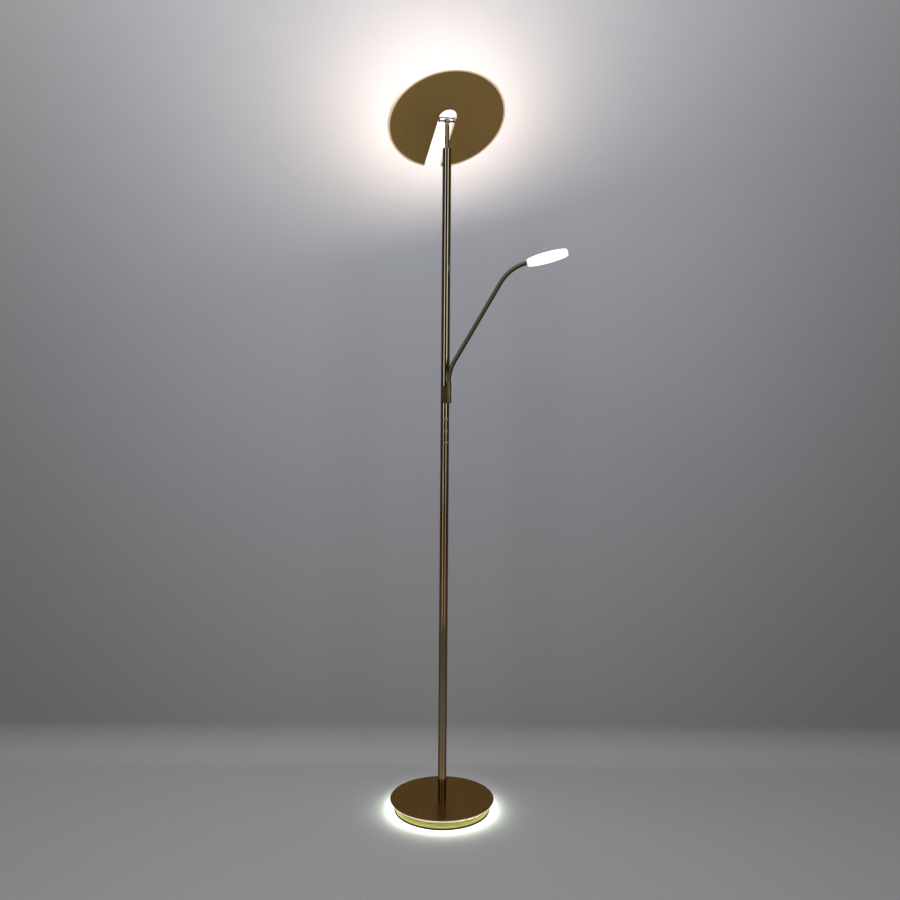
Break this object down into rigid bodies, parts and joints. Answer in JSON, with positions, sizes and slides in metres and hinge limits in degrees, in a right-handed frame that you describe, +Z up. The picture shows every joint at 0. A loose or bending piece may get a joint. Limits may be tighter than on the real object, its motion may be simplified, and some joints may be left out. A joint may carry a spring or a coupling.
{
  "type": "floor_lamp",
  "caption": "Brushed brass floor lamp with a slotted tilting disc uplight, a flexible reading light on a side bracket, push buttons on the pole and a lit round base",
  "frame": {"origin": "centre of the rubber foot, on the floor", "axes": "+Z up along the pole; -Y is the front, where the buttons and the arm bracket are; +X to the right of someone who faces the front"},
  "size_m": [0.4355, 0.2999, 1.8945],
  "materials": {
    "brass": "brushed, aged",
    "dark_brass": "satin, dark",
    "opal": "opal, lit",
    "rubber": "matt",
    "black_plastic": "fine grain",
    "steel": "zinc plated",
    "cast_iron": "as cast",
    "aluminium": "mill",
    "white_board": "white solder mask",
    "led": "phosphor, lit",
    "nickel": "polished nickel",
    "switch_plastic": "moulded"
  },
  "bodies": {
    "stand": {"arm_bracket": "brass", "ballast": "cast_iron", "base_core": "aluminium", "base_drum": "brass", "base_led_strip": "white_board", "base_light_ring": "opal", "base_top_plate": "brass", "bottom_cover": "black_plastic", "bracket_backing": "steel", "bracket_cap": "brass", "bracket_screws": "steel", "button_bezels": "nickel", "cord_gland": "black_plastic", "cover_screws": "steel", "foot_pad": "rubber", "gland_nut": "black_plastic", "led_driver": "black_plastic", "lower_pole": "brass", "neck_grub_screw": "steel", "pole_coupler": "aluminium", "pole_foot_insert": "aluminium", "pole_stud": "steel", "pole_top_bush": "brass", "push_switches": "switch_plastic", "stud_nut": "steel", "stud_washer": "steel", "switch_board": "white_board", "switch_carrier": "black_plastic", "upper_pole": "brass"},
    "neck": {"neck_stem": "brass", "neck_knuckle": "brass"},
    "uplight_head": {"tilt_axle": "dark_brass", "axle_collars": "dark_brass", "pivot_bracket": "dark_brass", "bracket_rivets": "dark_brass", "head_plate": "brass", "head_board": "white_board", "head_leds": "led", "head_board_nuts": "steel", "head_diffuser": "opal"},
    "uplight_switch": {"uplight_button": "nickel"},
    "reading_switch": {"reading_button": "nickel"},
    "base_switch": {"base_button": "nickel"},
    "arm_foot": {"arm_ferrule": "brass", "arm_retainer": "steel", "gooseneck_lower": "brass"},
    "arm_middle": {"gooseneck_middle": "brass", "gooseneck_upper": "brass"},
    "reading_head": {"reading_cover": "brass", "reading_clamp": "steel", "clamp_nuts": "steel", "reading_board": "white_board", "reading_leds": "led", "reading_diffuser": "opal"}
  },
  "joints": [
    {"name": "neck_turn", "type": "hinge", "parent": "stand", "child": "neck", "pos_m": [0, 0, 1.7204], "axis": [0, 0, 1], "range_deg": [-170, 170]},
    {"name": "head_tilt", "type": "hinge", "parent": "neck", "child": "uplight_head", "pos_m": [0, 0, 1.7879], "axis": [1, 0, 0], "range_deg": [-50, 40]},
    {"name": "arm_swing", "type": "hinge", "parent": "stand", "child": "arm_foot", "pos_m": [0, -0.029, 1.1239], "axis": [0, 0, 1], "range_deg": [-160, 24]},
    {"name": "arm_lower_bend", "type": "hinge", "parent": "arm_foot", "child": "arm_middle", "pos_m": [0.00319, -0.03011, 1.16158], "axis": [0.3289, 0.9444, 0], "range_deg": [-20, 50], "deforming": ["gooseneck_lower"]},
    {"name": "arm_upper_bend", "type": "hinge", "parent": "arm_middle", "child": "reading_head", "pos_m": [0.14734, -0.08031, 1.4162], "axis": [0.3289, 0.9444, 0], "range_deg": [-30, 60], "deforming": ["gooseneck_upper"]},
    {"name": "uplight_press", "type": "slide", "parent": "stand", "child": "uplight_switch", "axis": [0, 1, 0], "range_m": [0, 0.0008], "stiffness_N_per_m": 1200, "springref_m": -0.0003},
    {"name": "reading_press", "type": "slide", "parent": "stand", "child": "reading_switch", "axis": [0, 1, 0], "range_m": [0, 0.0008], "stiffness_N_per_m": 1200, "springref_m": -0.0003},
    {"name": "base_press", "type": "slide", "parent": "stand", "child": "base_switch", "axis": [0, 1, 0], "range_m": [0, 0.0008], "stiffness_N_per_m": 1200, "springref_m": -0.0003}
  ]
}
